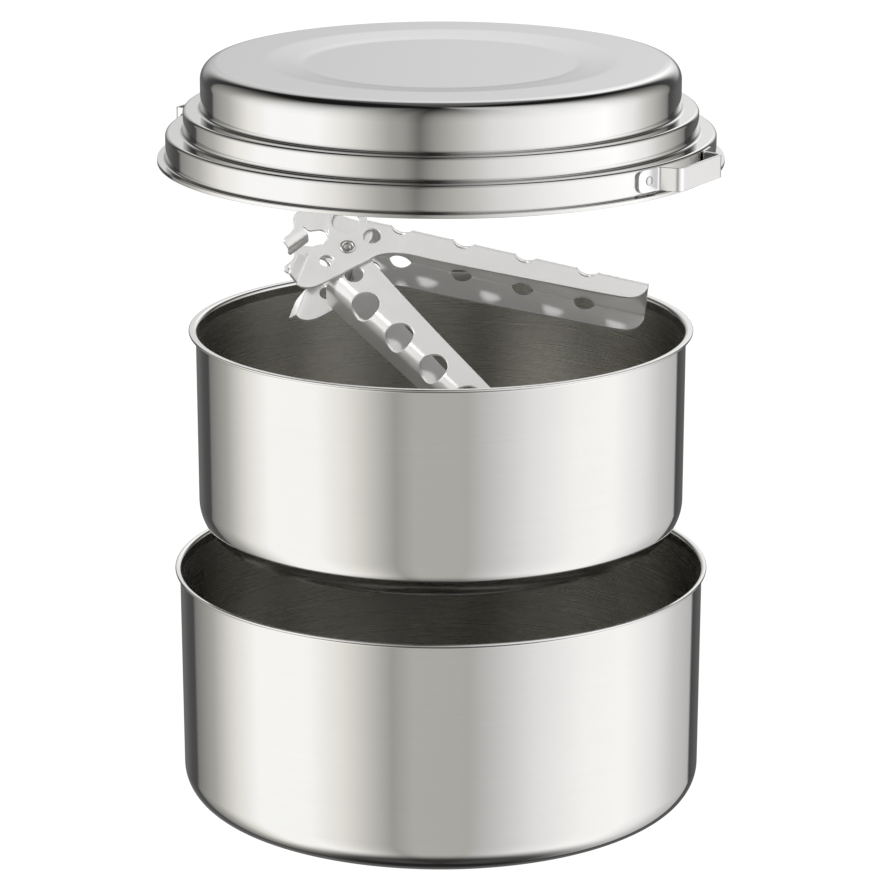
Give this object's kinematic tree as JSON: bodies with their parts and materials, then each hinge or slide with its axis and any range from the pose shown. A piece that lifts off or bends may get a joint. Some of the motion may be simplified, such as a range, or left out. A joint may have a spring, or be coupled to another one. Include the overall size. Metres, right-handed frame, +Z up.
{
  "type": "camping cook pot set",
  "caption": "Nesting stainless cooking pots with a stepped lid and a plier-type pot lifter, laid out one above the other.",
  "frame": {"origin": "centre of the underside of the large pot's base", "axes": "+Z up along the common axis of pots and lid; +X right and +Y away from the viewer when the lifter's jaws point left"},
  "size_m": [0.1922, 0.1922, 0.2602],
  "materials": {
    "pot_steel": "polished outside, fine turned brushing inside",
    "lid_steel": "satin top, polished bands",
    "bracket_steel": "polished strip",
    "rivet_steel": "polished",
    "lifter_aluminium": "satin sheet"
  },
  "bodies": {
    "large_pot_body": {"large_pot": "pot_steel"},
    "small_pot_body": {"small_pot": "pot_steel"},
    "lifter_body": {"lifter_outer_arm": "lifter_aluminium", "lifter_pivot_rivet": "rivet_steel"},
    "lifter_arm_body": {"lifter_inner_arm": "lifter_aluminium"},
    "lid_body": {"lid_shell": "lid_steel", "lid_bracket_right": "bracket_steel", "lid_bracket_left": "bracket_steel", "bracket_rivet_1": "rivet_steel", "bracket_rivet_2": "rivet_steel", "bracket_rivet_3": "rivet_steel", "bracket_rivet_4": "rivet_steel"}
  },
  "joints": [
    {"name": "small_pot_lift", "type": "slide", "parent": "large_pot_body", "child": "small_pot_body", "axis": [0, 0, 1], "range_m": [-0.0922, 0]},
    {"name": "lifter_lift", "type": "slide", "parent": "small_pot_body", "child": "lifter_body", "axis": [0, 0, 1], "range_m": [-0.0155, 0]},
    {"name": "lid_lift", "type": "slide", "parent": "lifter_body", "child": "lid_body", "axis": [0, 0, 1], "range_m": [-0.0451, 0]},
    {"name": "lifter_squeeze", "type": "hinge", "parent": "lifter_body", "child": "lifter_arm_body", "pos_m": [-0.03258, 0.028, 0.18897], "axis": [-0.024, 0.6851, -0.7281], "range_deg": [-22, 12]}
  ]
}
